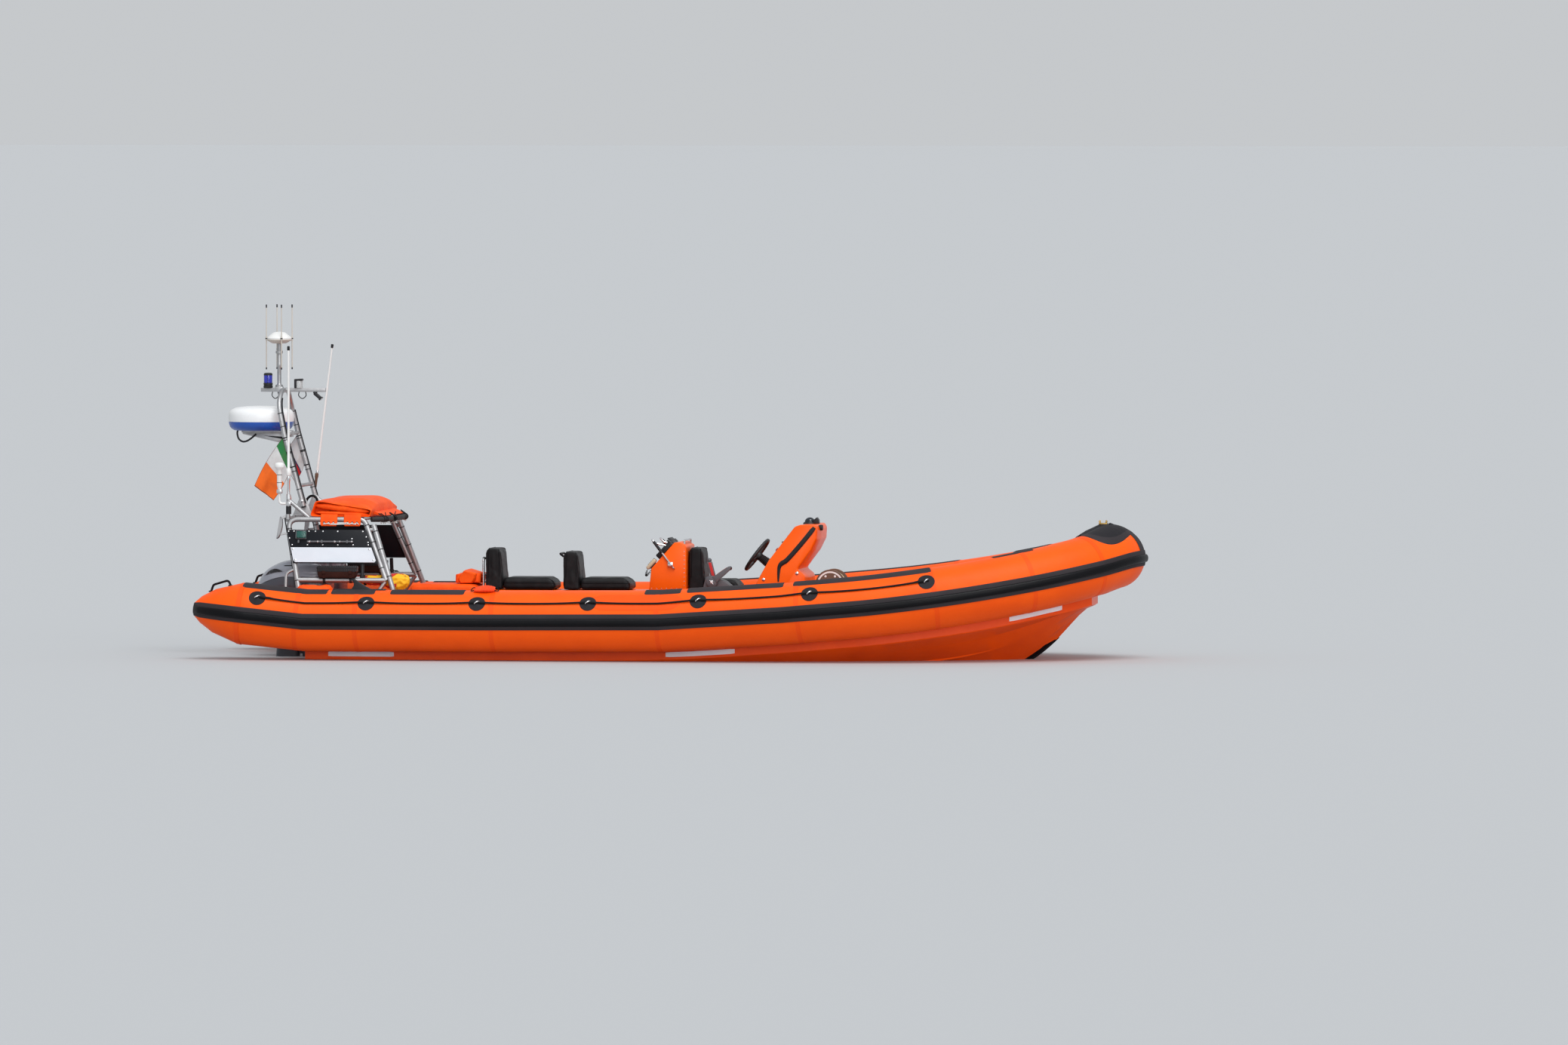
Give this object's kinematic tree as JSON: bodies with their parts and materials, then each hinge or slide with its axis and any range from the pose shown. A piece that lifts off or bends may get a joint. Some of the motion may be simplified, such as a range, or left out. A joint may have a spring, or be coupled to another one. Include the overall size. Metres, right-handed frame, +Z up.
{
  "type": "inshore rescue boat",
  "caption": "Rigid inflatable inshore rescue boat with orange collar, console, seats in line, folding mast and twin outboards.",
  "frame": {"origin": "on the waterline, on the centreline, halfway between the tips of the collar's stern cones and its nose", "axes": "+X towards the bow, +Y to port, +Z up"},
  "size_m": [8.4438, 2.846, 3.92],
  "materials": {
    "tube_fabric": "coated fabric, satin",
    "strake_rubber": "moulded rubber, matte",
    "hull_paint": "painted laminate",
    "console_gelcoat": "gelcoat, gloss",
    "seat_vinyl": "textured vinyl",
    "frame_aluminium": "anodised, dull",
    "bright_steel": "polished",
    "black_plastic": "matte",
    "white_plastic": "satin",
    "blue_lens": "clear lens",
    "green_lens": "clear lens",
    "red_lens": "clear lens",
    "orange_cloth": "coated nylon",
    "cowl_paint": "metallic gloss",
    "engine_casting": "satin paint",
    "rope_fibre": "twisted fibre",
    "reel_brown": "weathered paint",
    "flag_cloth": "woven bunting"
  },
  "bodies": {
    "boat": {"tube_starboard": "tube_fabric", "tube_bow": "tube_fabric", "tube_port": "tube_fabric", "strake_starboard": "strake_rubber", "strake_port": "strake_rubber", "hull": "hull_paint", "bow_pad": "strake_rubber", "console": "console_gelcoat", "throttle_pedestal": "console_gelcoat", "throttle": "engine_casting", "seat_plinth": "console_gelcoat", "helm_cushion": "seat_vinyl", "helm_backrest": "seat_vinyl", "crew_fore_cushion": "seat_vinyl", "crew_fore_backrest": "seat_vinyl", "crew_aft_cushion": "seat_vinyl", "crew_aft_backrest": "seat_vinyl", "instrument_pod": "console_gelcoat", "grab_rail": "bright_steel", "reel_stand": "frame_aluminium", "frame_side_starboard": "frame_aluminium", "frame_side_port": "frame_aluminium", "mast_step": "frame_aluminium", "frame_front_hoop": "strake_rubber", "side_plate_starboard": "black_plastic", "side_plate_port": "black_plastic", "nav_light_starboard": "green_lens", "nav_light_port": "red_lens", "equipment_case_starboard": "black_plastic", "equipment_case_port": "black_plastic", "righting_bag": "orange_cloth", "stowed_pack": "orange_cloth", "stowed_bag": "orange_cloth", "dry_bag": "orange_cloth", "cloth_roll": "orange_cloth", "whip_starboard": "white_plastic", "whip_port": "white_plastic", "gps_antenna": "white_plastic", "clamp_bracket_starboard": "engine_casting", "clamp_bracket_port": "engine_casting"},
    "wheel": {"steering_wheel": "black_plastic"},
    "reel": {"reel_drum": "reel_brown", "reel_rope": "rope_fibre"},
    "mast": {"mast_frame": "frame_aluminium", "radome": "white_plastic", "direction_finder": "white_plastic", "blue_light": "blue_lens", "masthead_light": "white_plastic", "ensign": "flag_cloth", "pennant": "flag_cloth"},
    "swivel_starboard": {"swivel_bracket_starboard": "engine_casting"},
    "engine_starboard": {"outboard_leg_starboard": "engine_casting", "outboard_cowl_starboard": "cowl_paint"},
    "screw_starboard": {"propeller_starboard": "bright_steel"},
    "swivel_port": {"swivel_bracket_port": "engine_casting"},
    "engine_port": {"outboard_leg_port": "engine_casting", "outboard_cowl_port": "cowl_paint"},
    "screw_port": {"propeller_port": "bright_steel"}
  },
  "joints": [
    {"name": "tilt_starboard", "type": "hinge", "parent": "boat", "child": "swivel_starboard", "pos_m": [-3.255, -0.35, 0.285], "axis": [0, 1, 0], "range_deg": [0, 65]},
    {"name": "tilt_port", "type": "hinge", "parent": "boat", "child": "swivel_port", "pos_m": [-3.255, 0.35, 0.285], "axis": [0, 1, 0], "range_deg": [0, 65]},
    {"name": "steer_starboard", "type": "hinge", "parent": "swivel_starboard", "child": "engine_starboard", "pos_m": [-3.34, -0.35, 0], "axis": [0, 0, 1], "range_deg": [-30, 30]},
    {"name": "steer_port", "type": "hinge", "parent": "swivel_port", "child": "engine_port", "pos_m": [-3.34, 0.35, 0], "axis": [0, 0, 1], "range_deg": [-30, 30]},
    {"name": "wheel_turn", "type": "hinge", "parent": "boat", "child": "wheel", "pos_m": [0.693, 0, 0.92], "axis": [0.8, 0, -0.6], "range_deg": [-540, 540]},
    {"name": "screw_spin_starboard", "type": "hinge", "parent": "engine_starboard", "child": "screw_starboard", "pos_m": [-3.75, -0.35, -0.575], "axis": [1, 0, 0], "continuous": true},
    {"name": "screw_spin_port", "type": "hinge", "parent": "engine_port", "child": "screw_port", "pos_m": [-3.75, 0.35, -0.575], "axis": [1, 0, 0], "continuous": true},
    {"name": "mast_fold", "type": "hinge", "parent": "boat", "child": "mast", "pos_m": [-3.38, 0, 1.396], "axis": [0, 1, 0], "range_deg": [0, 86]},
    {"name": "reel_spin", "type": "hinge", "parent": "boat", "child": "reel", "pos_m": [1.372, 0, 0.66], "axis": [0, 1, 0], "continuous": true}
  ],
  "couplings": [
    {"joint": "steer_port", "follows": "steer_starboard", "ratio": 1},
    {"joint": "wheel_turn", "follows": "steer_starboard", "ratio": 18}
  ]
}
